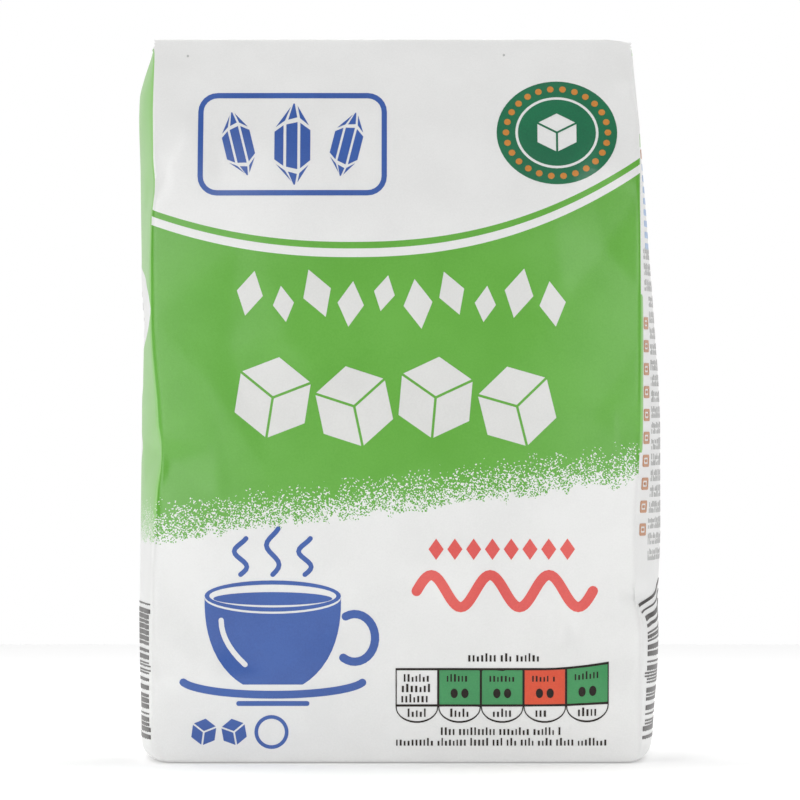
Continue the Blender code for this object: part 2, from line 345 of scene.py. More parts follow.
def gridBox(name, cells):
    # a cube cut into cells along each axis; the upright edges need two passes
    deselect()
    bpy.ops.mesh.primitive_cube_add(size=2)
    thing = bpy.context.object
    thing.name = thing.data.name = name
    bpy.ops.object.mode_set(mode="EDIT")
    bpy.ops.mesh.select_mode(type="EDGE")
    for axis, cuts in ((2, 1), (2, cells[2] // 2 - 1), (0, cells[0] - 1), (1, cells[1] - 1)):
        bpy.ops.mesh.select_all(action="DESELECT")
        bpy.ops.object.mode_set(mode="OBJECT")
        for edge in thing.data.edges:
            one, two = (thing.data.vertices[i].co for i in edge.vertices)
            edge.select = abs(one[axis] - two[axis]) > 0.001
        bpy.ops.object.mode_set(mode="EDIT")
        bpy.ops.mesh.subdivide(number_cuts=cuts)
    bpy.ops.object.mode_set(mode="OBJECT")
    return thing


def makeBody():
    heights, roofShares = rowHeights()
    cells = (body["cellsAcross"], body["cellsDeep"], len(heights) - 1)
    paper = gridBox("paperPacket", cells)
    index = np.rint((readPoints(paper) + 1) / 2 * cells).astype(int)
    across = spread(cells[0])[index[:, 0]]
    deep = spread(cells[1])[index[:, 1]]
    height = heights[index[:, 2]]
    roof = roofShares[index[:, 2]]
    side = np.sign(across)
    onSide = (index[:, 0] == 0) | (index[:, 0] == cells[0])
    onTop = index[:, 2] == cells[2]
    onBase = index[:, 2] == 0

    # two of the back's columns lie close together, so that the lap's edge is a crisp step
    seamColumn = np.argmin(np.abs(spread(cells[0]) * body["halfWide"] + body["seam"]))
    atSeam = (index[:, 0] == seamColumn + 1) & (index[:, 1] == cells[1])
    across = np.where(atSeam, spread(cells[0])[seamColumn] + body["seamEdge"] / body["halfWide"], across)

    deep, pocket = foldedDepth(across, deep, height, side)
    bow = 1 - np.abs(deep) ** body["sidePower"]
    x = across * (creasePlane(height, side) + sideSwell(height, side) * bow)
    y = deep * (faceDepth(height) + bellyBow(height) * (1 - np.abs(across) ** body["bellyPower"]))
    z = height + body["footLift"] * clamp(1 - height / body["tuckRoof"])
    x = np.where(onSide, x - side * pocket * (1 - roof), x)

    # the folded mouth lies back on the shelf behind it, and its layers show at both ends
    flap = height > body["tuckRoof"] + 0.05
    behind = y > body["flapBack"]
    layer = (z - body["tuckRoof"]) / (body["flapTop"] - body["tuckRoof"])
    shelf = body["tuckRoof"] + (body["shelf"] - body["tuckRoof"]) * layer
    z = np.where(flap & behind & (onSide | onTop | (deep > 0.999)), shelf, z)
    along = clamp((y + body["flapFront"]) / (body["flapFront"] + body["flapBack"]))
    z = np.where(onTop & ~behind, z - body["flapSag"] * np.sin(math.pi * along), z)
    row = cells[2] - index[:, 2]
    inset = flap & ~behind & onSide & ((row == 2) | (row == 4))
    x = np.where(inset, x - side * body["layerStep"], x)

    drop = clamp((x - body["rightPlane"] + body["rightInset"]) / body["flapDropLength"] + 1)
    z = z - body["flapDrop"] * drop * clamp((z - body["dropFrom"]) / (body["height"] - body["dropFrom"]))

    # the last bottom flap is the face that meets the floor
    wide, deepSize, corner = body["baseFlap"]
    gap = np.maximum(np.abs(x) - wide / 2, np.abs(y) - deepSize / 2)
    gap = np.maximum(gap, (np.abs(x) + np.abs(y) - (wide + deepSize) / 2 + corner) / math.sqrt(2))
    z = np.where(onBase, body["baseRise"] * smooth(gap / body["baseEdge"]), z)

    x = x + packetLow.x / mm + body["leftReach"]
    rest = np.stack([x, y, z], axis=1)
    writePoints(paper, rest * mm)
    print("body:", len(rest), "points")
    return paper, rest, index


def softenFolds(paper, rest, index):
    # filled paper bends softly along its folds: most at the foot, least at the pressed top
    cells = index.max(0)
    across = 1 - np.abs(spread(cells[0])[index[:, 0]])
    deep = 1 - np.abs(spread(cells[1])[index[:, 1]])
    height = rest[:, 2]
    onSide = across < 1e-6
    toCrease = np.where(onSide, deep * body["facePlane"], across * body["halfWide"])
    firm = 1 - folds["firmShare"] * smooth((height - folds["firmFrom"]) / folds["firmOver"])
    weight = clamp((folds["share"] - toCrease / folds["reach"]) * firm)
    weight = weight * np.where(rest[:, 0] > 0, folds["rightShare"], 1.0)
    weight = np.where((height < folds["foot"]) & (toCrease > 0.01), weight * folds["footShare"], weight)
    weight = np.where(height > folds["top"], weight * folds["topShare"], weight)
    ridge = np.abs(1 - deep - body["tuckColumn"]) < folds["tuckHalf"]
    foot = bySide(rest[:, 0], body["tuckFoot"])
    tuck = onSide & ridge & (height > foot - folds["tuckBelow"]) & (height < folds["tuckTop"])
    weight = np.where(tuck, folds["tuckShare"], weight)
    flapFold = (height > folds["flapFrom"]) & (deep < 0.02) & (rest[:, 1] < 0)
    weight = np.where(flapFold, folds["flapShare"], weight)
    weight = np.where(onSide & (height > body["tuckRoof"] - 0.02), 0, weight)
    levels = folds["levels"]
    level = np.rint(weight * levels).astype(int)
    group = paper.vertex_groups.new(name="folds")
    for step in range(1, levels + 1):
        group.add(np.flatnonzero(level == step).tolist(), step / levels, "REPLACE")
    softenGroup(paper, "folds", folds["rounds"])


def facetShares(out, one, two):
    # how far each point lies along two sides of a triangle
    area = one[0] * two[1] - one[1] * two[0]
    u = (out[:, 0] * two[1] - out[:, 1] * two[0]) / area
    v = (one[0] * out[:, 1] - one[1] * out[:, 0]) / area
    return u, v


def fanHeight(place, middle, rise, ring):
    # flat facets from a middle point down to the ring of corners round it
    total = np.zeros(len(place))
    middle = np.array(middle)
    ring = np.array(ring)
    out = place - middle
    for one, two in zip(ring - middle, np.roll(ring, -1, axis=0) - middle):
        u, v = facetShares(out, one, two)
        inside = (u >= 0) & (v >= 0) & (u + v <= 1)
        total = np.where(inside, rise * (1 - u - v), total)
    return total


def facetHeight(place, random):
    # a shaken net of triangles whose corners stand a little in or out
    low, high = place.min(0) - 0.5, place.max(0) + 0.5
    count = np.rint((high - low) / crumple["spacing"]).astype(int)
    points, rises = [], []
    for i in range(count[0] + 1):
        for j in range(count[1] + 1):
            free = np.array([0 < i < count[0], 0 < j < count[1]])
            shake = random.uniform(-crumple["shake"], crumple["shake"], 2) * free
            points.append(low + (high - low) * (np.array([i, j]) + shake) / count)
            rises.append(random.uniform(-1, 1) * crumple["height" if free.all() else "edgeHeight"])
    corners, _, faces, origin, _, _ = delaunay_2d_cdt([Vector(p) for p in points], [], [], 0, 1e-6)
    rises = [rises[old[0]] for old in origin]
    total = np.zeros(len(place))
    for face in faces:
        a, b, c = (np.array(corners[i]) for i in face)
        u, v = facetShares(place - a, b - a, c - a)
        inside = (u >= -1e-6) & (v >= -1e-6) & (u + v <= 1 + 1e-6)
        ra, rb, rc = (rises[i] for i in face)
        total = np.where(inside, ra * (1 - u - v) + rb * u + rc * v, total)
    return total


# For each panel: which way it faces, and which way is across it as it is seen from outside.
panelFacing = {"front": (0, -1), "right": (1, 0), "back": (0, 1), "left": (-1, 0)}
panelAcross = {"front": (1, 0), "right": (0, 1), "back": (-1, 0), "left": (0, -1)}


def onPanel(name, points):
    way = panelAcross[name]
    return np.stack([points[:, 0] * way[0] + points[:, 1] * way[1], points[:, 2]], axis=1)


def creasePaper(paper, rest, index):
    cells = index.max(0)
    members = {"front": index[:, 1] == 0, "back": index[:, 1] == cells[1],
               "left": index[:, 0] == 0, "right": index[:, 0] == cells[0]}
    points = readPoints(paper)
    random = np.random.default_rng(crumple["seed"])
    for name, member in members.items():
        chosen = np.flatnonzero(member)
        place = onPanel(name, rest[chosen])
        rise = facetHeight(place, random)
        for panelName, middle, height, ring in dents:
            if panelName == name:
                rise = rise + fanHeight(place, middle, height, ring)
        (low, lowOver), (high, highOver) = crumple["footFade"], crumple["topFade"]
        rise = rise * smooth((place[:, 1] - low) / lowOver)
        rise = rise * smooth((body["tuckRoof"] - high - place[:, 1]) / highOver)
        points[chosen] += np.outer(rise * mm, panelFacing[name] + (0,))
    writePoints(paper, points)
    low, high = crumple["walls"]
    walls = np.flatnonzero((rest[:, 2] > low) & (rest[:, 2] < high))
    paper.vertex_groups.new(name="walls").add(walls.tolist(), 1, "REPLACE")
    softenGroup(paper, "walls", crumple["soften"])

    # the lap up the back: one sheet's edge lies over the other
    points = readPoints(paper)
    lateral = -rest[:, 0]
    past = lateral - body["seam"]
    lap = body["seamStep"] * (past > -0.3) * (1 - smooth(past / body["seamWide"]))
    (low, lowOver), (high, highOver) = body["seamFoot"], body["seamTop"]
    lap = lap * members["back"] * smooth((rest[:, 2] - low) / lowOver)
    lap = lap * smooth((high - rest[:, 2]) / highOver)
    points[:, 1] += lap * mm
    writePoints(paper, points)
    print("creases:", len(dents), "dents")


def stripeHeight(across):
    out = across - fields["stripeLow"][0]
    halves = [rise * (np.abs(out) / span) ** power
              for span, rise, power in (fields["stripeLeft"], fields["stripeRight"])]
    return fields["stripeLow"][1] + bySide(out, halves)


def ovalDepth(across, height, x, z, wide, high):
    return (1 - np.sqrt(((across - x) / wide) ** 2 + ((height - z) / high) ** 2)) * high


def writeMaps(paper, rest, index):
    # where each printed field starts, in millimetres, is kept at the mesh's corners
    cells = index.max(0)
    corners = np.empty(len(paper.data.loops), np.int32)
    paper.data.loops.foreach_get("vertex_index", corners)
    low = index[corners].reshape(-1, 4, 3).min(1)
    high = index[corners].reshape(-1, 4, 3).max(1)
    kinds = [high[:, 1] == 0, low[:, 0] == cells[0], low[:, 1] == cells[1], high[:, 0] == 0,
             low[:, 2] == cells[2]]
    panel = np.repeat(np.select(kinds, range(5), 5), 4)
    place = rest[corners]
    east, north = place[:, 0], place[:, 1]
    across = np.choose(panel, [east, north, -east, -north, east, east])
    height = place[:, 2]
    face = (panel == 0) | (panel == 2)
    left = panel == 3
    none = np.full(len(across), -100.0)
    belowStripe = np.where(face, stripeHeight(across) - height, none)
    belowStripe = np.where(left, np.where(height < body["tuckRoof"] + 0.06, 100.0, -100.0), belowStripe)
    aboveEdge = np.where(face, height - fields["edgeMiddle"] - fields["edgeSlope"] * across, none)
    aboveEdge = np.where(left, height - fields["sideEdge"], aboveEdge)
    cutIn = np.maximum(ovalDepth(across, height, *fields["label"]),
                       ovalDepth(across, height, *fields["smallLabel"]))
    cutIn = np.where(left, cutIn, none)
    cornerGap = across + faceDepth(height)
    strips = [np.minimum.reduce([wide - cornerGap, height - low, high - height])
              for low, high, wide in fields["wraps"]]
    right = panel == 1
    belowStripe = np.where(right, 100.0, belowStripe)
    aboveEdge = np.where(right, 100.0, aboveEdge)
    cutIn = np.where(right, -np.maximum.reduce(strips), cutIn)
    # the field's green is paler on the side panels
    paleSides = np.where(left | right, fields["paleSides"], 0.0)
    for name, values in (("belowStripe", belowStripe), ("aboveEdge", aboveEdge), ("cutIn", cutIn),
                         ("paleSides", paleSides)):
        made = paper.data.attributes.new(name, "FLOAT", "CORNER")
        made.data.foreach_set("value", values.astype(np.float32))

    # a packed map for baking, with the most room for the front and back
    shareAcross = (spread(cells[0])[index[corners][:, 0]] + 1) / 2
    shareDeep = (spread(cells[1])[index[corners][:, 1]] + 1) / 2
    roof = rowHeights()[1][index[corners][:, 2]]
    shareUp = (height + 12 * roof) / (body["flapTop"] + 12)
    boxes = np.array([(0.01, 0.01, 0.48, 0.66), (0.51, 0.69, 0.48, 0.2), (0.51, 0.01, 0.48, 0.66),
                      (0.01, 0.69, 0.48, 0.2), (0.01, 0.91, 0.48, 0.08), (0.51, 0.91, 0.48, 0.08)])[panel]
    turned = (panel == 1) | (panel == 3)
    u = np.where(turned, shareUp, shareAcross)
    v = np.where(turned | (panel >= 4), shareDeep, shareUp)
    packed = np.stack([boxes[:, 0] + boxes[:, 2] * u, boxes[:, 1] + boxes[:, 3] * v], axis=1)
    while paper.data.uv_layers:
        paper.data.uv_layers.remove(paper.data.uv_layers[0])
    paper.data.uv_layers.new(name="OFBake").uv.foreach_set("vector", packed.astype(np.float32).ravel())


# Materials.

def newMaterial(name, roughness, gloss):
    material = bpy.data.materials.new(name)
    material.use_nodes = True
    shader = material.node_tree.nodes["Principled BSDF"]
    shader.inputs["Roughness"].default_value = roughness
    shader.inputs["Specular IOR Level"].default_value = gloss
    return material, material.node_tree, shader


def noise(tree, place, size, detail):
    # its lumps are about as wide as the size says, in millimetres
    return addNode(tree, "ShaderNodeTexNoise", {"Vector": place, "Scale": 1 / (size * mm),
                                                "Detail": detail}).outputs["Fac"]


def reckon(tree, operation, *values):
    return addNode(tree, "ShaderNodeMath", dict(enumerate(values)), operation=operation).outputs[0]


def remap(tree, value, low, high, newLow=0.0, newHigh=1.0):
    return addNode(tree, "ShaderNodeMapRange", {"Value": value, "From Min": low, "From Max": high,
                                                "To Min": newLow, "To Max": newHigh}).outputs["Result"]


def readMap(tree, name):
    return addNode(tree, "ShaderNodeAttribute", attribute_name=name).outputs["Fac"]


def paperGrain(tree, place):
    # pressed fibres
    bump = addNode(tree, "ShaderNodeBump", {"Height": noise(tree, place, sheet["fibre"], 4.0),
                                            "Strength": sheet["fibreStrength"],
                                            "Distance": sheet["fibreDepth"] * mm})
    return bump.outputs["Normal"]


def inkTone(tree, place, dark, light):
    # rollers lay coat and ink a little unevenly: wide soft clouds and a fine grain
    cloud = noise(tree, place, sheet["cloud"], 3.0)
    speck = noise(tree, place, sheet["speck"], 2.0)
    both = addNode(tree, "ShaderNodeMix", {0: sheet["speckShare"], 2: cloud, 3: speck})
    tone = addNode(tree, "ShaderNodeValToRGB", {"Fac": both.outputs[0]})
    for element, position, colour in zip(tone.color_ramp.elements, sheet["toneRange"], (dark, light)):
        element.position = position
        element.color = linear(colour)
    return tone.outputs["Color"]


def coatedKraft():
    # white kraft paper with a machine-laid clay coat: a smooth pale sheet with a soft sheen and faint fibres,
    # printed in one pass with the green field
    material, tree, shader = newMaterial("coatedKraft", sheet["roughness"], inks["fieldGreen"][2])
    place = addNode(tree, "ShaderNodeTexCoord").outputs["Object"]

    # the field ends in loose grain: whole grains are either inked or bare, fewer and fewer inked downwards
    grain = addNode(tree, "ShaderNodeTexVoronoi", {"Vector": place, "Scale": 1 / (fields["grainSize"] * mm)})
    draw = addNode(tree, "ShaderNodeSeparateColor", {"Color": grain.outputs["Color"]}).outputs["Red"]
    reach = sheet["driftReach"]
    drift = remap(tree, noise(tree, place, sheet["drift"], 2.0), 0.3, 0.7, -reach, reach)
    uneven = reckon(tree, "ADD", readMap(tree, "aboveEdge"), drift)
    cover = remap(tree, uneven, fields["grainFrom"], fields["grainRun"])
    inked = reckon(tree, "LESS_THAN", draw, reckon(tree, "POWER", cover, 0.5))

    stripe = readMap(tree, "belowStripe")
    half = fields["stripeWide"] / 2
    band = reckon(tree, "GREATER_THAN", stripe, fields["stripeWide"] + fields["gapWide"])
    band = reckon(tree, "MULTIPLY", band, inked)
    line = reckon(tree, "COMPARE", stripe, half, half)
    full = reckon(tree, "LESS_THAN", readMap(tree, "cutIn"), 0.0)
    green = reckon(tree, "MULTIPLY", reckon(tree, "MAXIMUM", band, line), full)

    bare = inkTone(tree, place, *inks["barePaper"][:2])
    ink = inkTone(tree, place, *inks["fieldGreen"][:2])
    # the side panels take the paler green
    ink = addNode(tree, "ShaderNodeMix", {0: readMap(tree, "paleSides"), 6: ink, 7: linear(paleSideGreen)},
                  data_type="RGBA").outputs[2]
    colour = addNode(tree, "ShaderNodeMix", {0: green, 6: bare, 7: ink}, data_type="RGBA")
    tree.links.new(colour.outputs[2], shader.inputs["Base Color"])
    tree.links.new(paperGrain(tree, place), shader.inputs["Normal"])
    return material


def flexoInk(name):
    # flexographic ink on coated paper: a thin, flat, slightly cloudy colour that keeps the sheet's sheen
    dark, light, gloss = inks[name]
    material, tree, shader = newMaterial(name, sheet["roughness"], gloss)
    place = addNode(tree, "ShaderNodeTexCoord").outputs["Object"]
    tree.links.new(inkTone(tree, place, dark, light), shader.inputs["Base Color"])
    tree.links.new(paperGrain(tree, place), shader.inputs["Normal"])
    return material


# Flat outlines for the prints, in millimetres across and up a panel.

def turnedBy(points, x, z, degrees):
    turn = math.radians(degrees)
    return [(x + px * math.cos(turn) - pz * math.sin(turn), z + px * math.sin(turn) + pz * math.cos(turn))
            for px, pz in points]


def box(x, z, wide, high, turn=0):
    corners = [(-wide / 2, -high / 2), (wide / 2, -high / 2), (wide / 2, high / 2), (-wide / 2, high / 2)]
    return turnedBy(corners, x, z, turn)


def roundBox(x, z, wide, high, radius, turn=0):
    points = []
    for side, up, start in ((1, -1, -90), (1, 1, 0), (-1, 1, 90), (-1, -1, 180)):
        for step in range(7):
            angle = math.radians(start + 15 * step)
            points.append((side * (wide / 2 - radius) + radius * math.cos(angle),
                           up * (high / 2 - radius) + radius * math.sin(angle)))
    return turnedBy(points, x, z, turn)


def oval(x, z, wide, high, turn=0, steps=40):
    angles = [2 * math.pi * step / steps for step in range(steps)]
    return turnedBy([(wide / 2 * math.cos(a), high / 2 * math.sin(a)) for a in angles], x, z, turn)


def diamond(x, z, wide, high, turn=0):
    return turnedBy([(wide / 2, 0), (0, high / 2), (-wide / 2, 0), (0, -high / 2)], x, z, turn)


def stroke(points, wide):
    # a round-ended line of even width
    line = np.array(points, float)
    way = np.gradient(line, axis=0)
    way /= np.linalg.norm(way, axis=1)[:, None]
    across = np.stack([-way[:, 1], way[:, 0]], axis=1) * wide / 2
    cap = []
    for end, sign in ((-1, 1), (0, -1)):
        turn = [math.pi / 2 - math.pi * step / 6 for step in range(1, 6)]
        cap.append([line[end] + sign * (across[end] * math.sin(t) + way[end] * math.cos(t) * wide / 2)
                    for t in turn])
    outline = list(line + across) + cap[0] + list(line - across)[::-1] + cap[1]
    return [tuple(p) for p in outline]


def cube(x, z, size, turn, gap=0.93):
    # a sugar cube seen from above its corner: three faces with bare lines between
    angles = [math.radians(30 + 60 * i) for i in range(6)]
    ring = [(size * math.cos(a), size * math.sin(a)) for a in angles]
    faces = []
    for first in (0, 2, 4):
        corners = [(0, 0), ring[first], ring[first + 1], ring[(first + 2) % 6]]
        mx = sum(c[0] for c in corners) / 4
        mz = sum(c[1] for c in corners) / 4
        shrunk = [(mx + (cx - mx) * gap, mz + (cz - mz) * gap) for cx, cz in corners]
        faces.append(turnedBy(shrunk, x, z, turn))
    return faces


def wordRow(left, right, z, high, random, stem=0.27):
    # stems in groups, as dense as small print, that spell nothing
    blocks = []
    at = left
    while at < right - 0.5 * high:
        for _ in range(random.integers(3, 11)):
            wide = high * stem * random.uniform(0.8, 1.3)
            if at + wide > right:
                break
            tall = high * random.choice([0.8, 1.0, 1.0, 1.3])
            blocks.append(box(at + wide / 2, z + (tall - high) / 2, wide, tall))
            at += wide + 0.36 * high
        at += 0.45 * high
    return blocks


def letterStrokes(left, right, z, high, random):
    # the sides' finer print: short strokes only
    strokes = []
    at = left
    while at < right - 0.8:
        wide = random.uniform(0.35, 0.75)
        tall = high * random.choice([0.75, 1.0, 1.25])
        strokes.append(box(at + wide / 2, z + (tall - high) / 2, wide, tall))
        at += wide + random.choice([0.35, 0.35, 0.35, 1.1])
    return strokes


# A film of ink, in millimetres: the spans it is cut into, how far off it starts before it is laid on the
# paper, how far off a point must still be to have missed it, and how deep it reaches into the sheet.
laying = {"span": 1.3, "start": 70.0, "missed": 62.0, "root": 0.04}


def inkFilm(name, outlinesByPanel, material, lift=0.06):
    # flat outlines are filled, cut into short spans, laid on the paper's folds and given a film's thickness
    films = []
    for panelName, outlines in outlinesByPanel.items():
        flat = bpy.data.curves.new(name, "CURVE")
        flat.dimensions = "2D"
        flat.fill_mode = "BOTH"
        for outline in outlines:
            spline = flat.splines.new("POLY")
            spline.points.add(len(outline) - 1)
            for point, (across, up) in zip(spline.points, outline):
                point.co = (across * mm, up * mm, 0, 1)
            spline.use_cyclic_u = True
        pick(addThing(name, flat))
        bpy.ops.object.convert(target="MESH")
        film = bpy.context.object
        low, high = readPoints(film).min(0), readPoints(film).max(0)
        bpy.ops.object.mode_set(mode="EDIT")
        span = laying["span"]
        for axis in (0, 1):
            for cut in np.arange(math.ceil(low[axis] / mm / span) * span, high[axis] / mm, span) * mm:
                spot = (cut, 0, 0) if axis == 0 else (0, cut, 0)
                bpy.ops.mesh.select_all(action="SELECT")
                bpy.ops.mesh.bisect(plane_co=spot, plane_no=(1 - axis, axis, 0))
        bpy.ops.mesh.select_all(action="SELECT")
        bpy.ops.mesh.remove_doubles(threshold=0.000005)
        bpy.ops.object.mode_set(mode="OBJECT")
        points = readPoints(film)
        facing, way = np.array(panelFacing[panelName]), np.array(panelAcross[panelName])
        spots = np.outer(points[:, 0], way) + facing * laying["start"] * mm
        writePoints(film, np.column_stack([spots, points[:, 1]]))
        wrap = film.modifiers.new("onPaper", "SHRINKWRAP")
        wrap.target = paper
        wrap.wrap_method = "PROJECT"
        wrap.wrap_mode = "ABOVE_SURFACE"
        wrap.use_project_x = bool(facing[0])
        wrap.use_project_y = bool(facing[1])
        wrap.use_positive_direction = facing.sum() < 0
        wrap.use_negative_direction = facing.sum() > 0
        wrap.offset = lift * mm
        applyModifiers(film)
        pick(film)
        bpy.ops.object.mode_set(mode="EDIT")
        bpy.ops.mesh.select_mode(type="VERT")
        bpy.ops.mesh.select_all(action="DESELECT")
        bpy.ops.object.mode_set(mode="OBJECT")
        # ink past the panel's edge
        missed = (readPoints(film)[:, :2] * facing).sum(1) > laying["missed"] * mm
        film.data.vertices.foreach_set("select", missed)
        bpy.ops.object.mode_set(mode="EDIT")
        bpy.ops.mesh.delete(type="VERT")
        bpy.ops.mesh.select_all(action="SELECT")
        bpy.ops.mesh.normals_make_consistent(inside=False)
        bpy.ops.object.mode_set(mode="OBJECT")
        normals = np.array([tuple(p.normal) for p in film.data.polygons])
        areas = np.array([p.area for p in film.data.polygons])
        if ((normals[:, :2] * facing).sum(1) * areas).sum() < 0:
            film.data.flip_normals()
        wall = film.modifiers.new("inkDepth", "SOLIDIFY")
        wall.thickness = (lift + laying["root"]) * mm
        wall.offset = -1
        applyModifiers(film)
        films.append(film)
    deselect()
    for film in films:
        film.select_set(True)
    bpy.context.view_layer.objects.active = films[0]
    if len(films) > 1:
        bpy.ops.object.join()
    film = films[0]
    film.name = film.data.name = name
    film.data.materials.clear()
    film.data.materials.append(material)
    bpy.ops.object.shade_smooth_by_angle(angle=math.radians(35))
    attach(film, "root")
    print("print:", name, len(film.data.polygons), "faces")


# The generic print of the front, which the back repeats. Places are across and up the panel.
plaque = {"x": -22.4, "z": 127.6, "wide": 39.0, "high": 21.5, "line": 1.1, "corners": (4.0, 2.9),
          "crystals": [(-33.6, 14, 0.8), (-22.4, 0, 1.0), (-11.2, -14, 0.8)],     # across, turn, size
          "crystalWide": 7.4, "crystalHigh": 17.0}
badge = {"x": 32.2, "z": 130.0, "wide": 24.9, "high": 21.6, "ringWide": 17.2, "ringHigh": 15.0, "line": 1.1,
         "cube": 4.9, "squash": 0.87, "dots": 26, "dotWide": 1.4, "dotHigh": 1.3}
cubes = {"left": -26.3, "pitch": 16.7, "z": 74.4, "shift": 0.9, "size": 8.7, "turns": (-9, 12, -5, 14)}
grains = {"left": -31.0, "pitch": 6.9, "z": 95.6, "shift": 1.1, "count": 10, "high": 9.4, "wideShare": 0.58,
          "sizes": (1.0, 0.8, 1.1), "turns": (-12, 8, 20, -6)}
flourish = {"left": 3.2, "right": 39.4, "z": 35.6, "rise": 3.3, "waves": 3, "wide": 2.1}
lozenges = {"left": 7.2, "pitch": 3.85, "z": 44.2, "count": 8, "wide": 3.1, "high": 4.4}
cup = {"x": -26.3, "rim": 34.6, "wide": 28.0, "foot": 16.4,
       "rims": ((0.0, 6.4, 0.0), (1.9, 4.7, 0.0), (3.6, 2.7, 0.55)),     # how much narrower, height, how low
       "shineWide": 1.1, "handleOut": 5.4, "handleLow": 8.6, "handleWide": 1.7,
       "saucer": (18.8, 1.6), "base": (3.9, 15.0, 1.0, 0.45),
       "steam": ((-1, 7.4), (0, 9.4), (1, 7.4)), "steamPitch": 6.6, "steamSwing": 1.3, "steamLow": 4.4}
weight = {"x": -40.5, "pitch": 6.2, "z": 6.6, "size": 3.0, "turns": (-8, 10), "ring": (-26.6, 6.6, 7.0),
          "line": 0.75}
table = {"left": -1.1, "cell": 8.75, "top": 19.8, "middle": 12.1, "bottom": 8.5, "line": 0.45,
         "bowFrom": 30.0, "bowOver": 12.6, "bowRise": 1.3,      # the paper's bow lifts its right end
         # rows of small print: how high up, how long, how tall
         "firstRows": ((17.6, 5.4, 1.2), (15.5, 6.2, 1.3), (13.4, 6.4, 1.3)), "rows": ((17.6, 5.2, 1.2),),
         "footRow": (10.4, 3.8, 1.3), "beads": (1.1, 14.6, 1.5, 2.0),
         "around": ((13.8, 28.4, 21.8, 1.3), (8.2, 33.4, 6.6, 1.2), (-1.0, 42.6, 4.4, 1.2))}
barCode = {"left": (20.4, 25.0), "right": (-19.2, 24.0),    # on each side: its middle and length
           "low": 5.0, "high": 28.8, "bars": 24, "longBars": (0, 1, 11, 12, 22, 23), "longer": 2.0,
           "margin": 0.9,
           "tilt": 0.22, "tiltFrom": 22, "tiltOver": 12}    # the right side's bars bend with its notch
pricks = {"wide": 0.5, "places": ((-44.3, 146.3), (21.4, 146.5))}     # two pin pricks under the flap's edge, drawn as grey dots of painted shade where the holes are

# The sides' small print is rows of short strokes.
sideRows = {"count": 20, "top": 104.9, "pitch": 3.27, "left": (-32.5, -27.5), "leftChange": 96, "right": 22.0,
            "apart": 0.62, "high": 0.95}
labelRows = {"rows": ((97.0, 8), (94.2, 13), (91.4, 14), (88.6, 10)), "shift": 6, "high": 1.2}
paleBars = {"count": 8, "x": -21.0, "z": 123.0, "shift": 0.45, "pitch": 2.35, "size": (9.0, 1.3, 0.5)}
signs = {"count": 10, "x": -31.8, "z": 90.6, "pitch": 4.72,
         "rings": ((4.4, 2.5, 0.5), (3.0, 1.3, 0.3), (1.4, 0.6, 0.25)), "tab": (-26.2, 125.6, 3.4, 1.9, 0.6)}


def makeCrystal(x, z, turn, size):
    # an outline of facets with bare lines between them, pointed at both ends
    shapes = [
        [(-0.17, -0.28), (0.14, -0.31), (0.14, 0.27), (-0.17, 0.24)],
        [(-0.5, -0.19), (-0.25, -0.27), (-0.25, 0.23), (-0.5, 0.15)],
        [(0.22, -0.3), (0.5, -0.2), (0.5, 0.17), (0.22, 0.26)],
        [(-0.46, 0.21), (-0.21, 0.29), (-0.05, 0.46)],
        [(-0.12, 0.3), (0.13, 0.33), (0.06, 0.5), (0.02, 0.5)],
        [(0.21, 0.32), (0.46, 0.23), (0.14, 0.47)],
        [(-0.45, -0.25), (-0.02, -0.46), (-0.2, -0.33)],
        [(-0.12, -0.34), (0.13, -0.37), (0.08, -0.5), (0.04, -0.5)],
        [(0.2, -0.36), (0.45, -0.26), (0.15, -0.47)],
    ]
    wide, high = plaque["crystalWide"], plaque["crystalHigh"]
    return [turnedBy([(a * wide * size, b * high * size) for a, b in shape], x, z, turn) for shape in shapes]


def makePlaque():
    p = plaque
    inner = (p["wide"] - 2 * p["line"], p["high"] - 2 * p["line"])
    outlines = [roundBox(p["x"], p["z"], p["wide"], p["high"], p["corners"][0]),
                roundBox(p["x"], p["z"], *inner, p["corners"][1])]
    for x, turn, size in p["crystals"]:
        outlines += makeCrystal(x, p["z"], turn, size)
    return outlines


